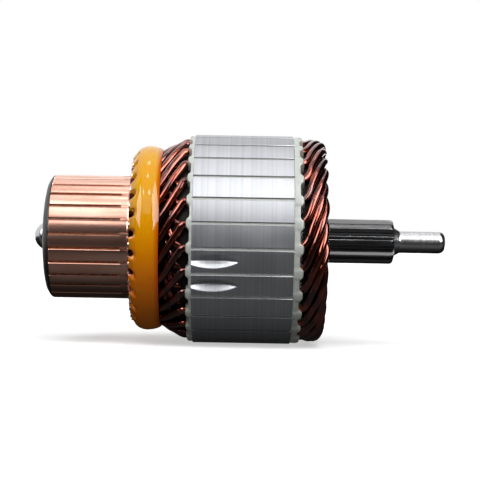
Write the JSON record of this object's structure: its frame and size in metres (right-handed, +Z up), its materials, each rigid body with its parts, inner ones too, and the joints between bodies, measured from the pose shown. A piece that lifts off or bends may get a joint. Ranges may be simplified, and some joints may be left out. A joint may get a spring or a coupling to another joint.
{
  "type": "motor armature",
  "caption": "Starter motor armature: shaft with cut sun gear, slotted steel core, hairpin copper winding bound with resin, and a moulded copper commutator.",
  "frame": {"origin": "middle of the steel core on the shaft's axis", "axes": "+X along the shaft from the commutator to the sun gear, +Z up, -Y toward the viewer"},
  "size_m": [0.1286, 0.065, 0.065],
  "materials": {
    "shaft_steel": "ground and hardened",
    "core_steel": "turned",
    "insulator_nylon": "pale, satin",
    "phenolic": "moulded, satin",
    "bar_copper": "turned bright copper",
    "coil_enamel": "dark red enamel on copper",
    "band_resin": "glossy amber resin"
  },
  "bodies": {
    "root": {"shaft": "shaft_steel", "lamination_stack": "core_steel", "insulator_commutator_side": "insulator_nylon", "insulator_drive_side": "insulator_nylon", "commutator_moulding": "phenolic", "winding_band": "band_resin", "commutator_bar_01": "bar_copper", "commutator_bar_02": "bar_copper", "commutator_bar_03": "bar_copper", "commutator_bar_04": "bar_copper", "commutator_bar_05": "bar_copper", "commutator_bar_06": "bar_copper", "commutator_bar_07": "bar_copper", "commutator_bar_08": "bar_copper", "commutator_bar_09": "bar_copper", "commutator_bar_10": "bar_copper", "commutator_bar_11": "bar_copper", "commutator_bar_12": "bar_copper", "commutator_bar_13": "bar_copper", "commutator_bar_14": "bar_copper", "commutator_bar_15": "bar_copper", "commutator_bar_16": "bar_copper", "commutator_bar_17": "bar_copper", "commutator_bar_18": "bar_copper", "commutator_bar_19": "bar_copper", "commutator_bar_20": "bar_copper", "commutator_bar_21": "bar_copper", "commutator_bar_22": "bar_copper", "commutator_bar_23": "bar_copper", "commutator_bar_24": "bar_copper", "commutator_bar_25": "bar_copper", "commutator_bar_26": "bar_copper", "commutator_bar_27": "bar_copper", "coil_01": "coil_enamel", "coil_02": "coil_enamel", "coil_03": "coil_enamel", "coil_04": "coil_enamel", "coil_05": "coil_enamel", "coil_06": "coil_enamel", "coil_07": "coil_enamel", "coil_08": "coil_enamel", "coil_09": "coil_enamel", "coil_10": "coil_enamel", "coil_11": "coil_enamel", "coil_12": "coil_enamel", "coil_13": "coil_enamel", "coil_14": "coil_enamel", "coil_15": "coil_enamel", "coil_16": "coil_enamel", "coil_17": "coil_enamel", "coil_18": "coil_enamel", "coil_19": "coil_enamel", "coil_20": "coil_enamel", "coil_21": "coil_enamel", "coil_22": "coil_enamel", "coil_23": "coil_enamel", "coil_24": "coil_enamel", "coil_25": "coil_enamel", "coil_26": "coil_enamel", "coil_27": "coil_enamel"}
  },
  "joints": []
}
